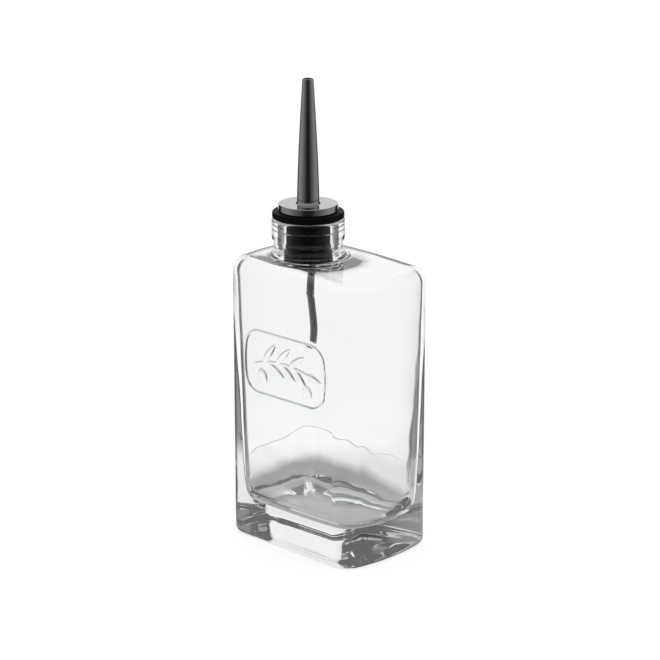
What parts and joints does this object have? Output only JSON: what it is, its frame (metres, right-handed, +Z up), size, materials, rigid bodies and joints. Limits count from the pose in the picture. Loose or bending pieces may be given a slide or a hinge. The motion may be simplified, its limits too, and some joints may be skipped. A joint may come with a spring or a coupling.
{
  "type": "oil cruet",
  "caption": "Clear glass oil bottle with a heavy base and an off-centre neck, closed by a rubber stopper with a steel pouring spout and a vent tube.",
  "frame": {"origin": "centre of the bottle's footprint, on the surface it stands on", "axes": "+Z up along the height, X along the footprint's width with the neck towards -X, the face with the raised picture at -Y"},
  "size_m": [0.074, 0.0501, 0.1903],
  "materials": {
    "clear_glass": "clear soda-lime glass, fire polished, slightly wavy on the inside",
    "black_rubber": "moulded black rubber, satin",
    "dark_steel": "polished stainless steel with a dark grey mirror finish"
  },
  "bodies": {
    "root": {"bottle": "clear_glass", "stopper": "black_rubber", "spout": "dark_steel", "vent_tube": "dark_steel"}
  },
  "joints": []
}
